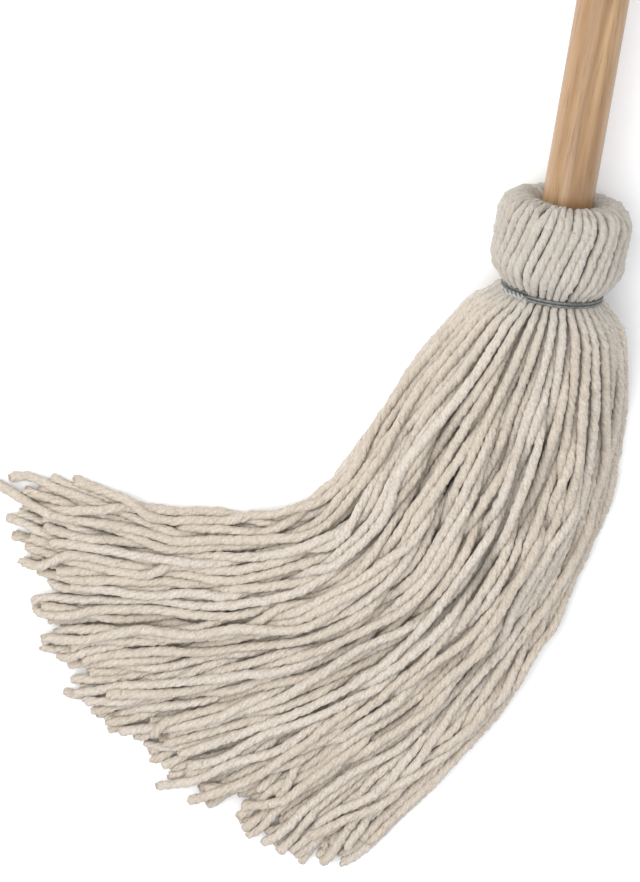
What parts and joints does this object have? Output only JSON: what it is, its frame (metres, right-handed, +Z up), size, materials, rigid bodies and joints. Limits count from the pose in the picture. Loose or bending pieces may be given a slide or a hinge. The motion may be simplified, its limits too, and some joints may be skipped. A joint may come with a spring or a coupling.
{
  "type": "string mop",
  "caption": "String mop lying flat: a round wooden handle with a cotton yarn head bound, folded and tied onto its end, the skirt of yarn swept to one side.",
  "frame": {"origin": "middle of the footprint of the mop as it lies on the floor, on the floor", "axes": "+Y up the handle towards its grip end, +Z up, away from the floor, -X towards the side that the yarn is swept to"},
  "size_m": [0.2729, 1.69, 0.0633],
  "materials": {
    "wood": "satin lacquer",
    "cotton_yarn": "natural twisted cotton",
    "galvanized_wire": "galvanized"
  },
  "bodies": {
    "handle": {"handle": "wood", "binding_wire": "galvanized_wire", "binding_staples": "galvanized_wire", "yarn_root": "cotton_yarn", "neck_tie": "galvanized_wire", "neck_tie_twist": "galvanized_wire", "bun_lock_1": "cotton_yarn", "bun_lock_2": "cotton_yarn", "bun_lock_3": "cotton_yarn", "bun_lock_4": "cotton_yarn", "bun_lock_5": "cotton_yarn", "bun_lock_6": "cotton_yarn", "bun_lock_7": "cotton_yarn", "bun_lock_8": "cotton_yarn", "bun_lock_9": "cotton_yarn", "bun_lock_10": "cotton_yarn", "bun_lock_11": "cotton_yarn", "bun_lock_12": "cotton_yarn"},
    "skirt": {"skirt_upper_lock_1": "cotton_yarn", "skirt_upper_lock_2": "cotton_yarn", "skirt_upper_lock_3": "cotton_yarn", "skirt_upper_lock_4": "cotton_yarn", "skirt_upper_lock_5": "cotton_yarn", "skirt_upper_lock_6": "cotton_yarn", "skirt_upper_lock_7": "cotton_yarn", "skirt_upper_lock_8": "cotton_yarn", "skirt_upper_lock_9": "cotton_yarn", "skirt_upper_lock_10": "cotton_yarn", "skirt_upper_lock_11": "cotton_yarn", "skirt_upper_lock_12": "cotton_yarn", "skirt_lower_lock_1": "cotton_yarn", "skirt_lower_lock_2": "cotton_yarn", "skirt_lower_lock_3": "cotton_yarn", "skirt_lower_lock_4": "cotton_yarn", "skirt_lower_lock_5": "cotton_yarn", "skirt_lower_lock_6": "cotton_yarn", "skirt_lower_lock_7": "cotton_yarn", "skirt_lower_lock_8": "cotton_yarn", "skirt_lower_lock_9": "cotton_yarn", "skirt_lower_lock_10": "cotton_yarn", "skirt_lower_lock_11": "cotton_yarn", "skirt_lower_lock_12": "cotton_yarn"}
  },
  "joints": [
    {"name": "skirt_swing", "type": "hinge", "parent": "handle", "child": "skirt", "pos_m": [0.09474, -0.54081, 0.03221], "axis": [0, 0, 1], "range_deg": [-30, 60]}
  ]
}
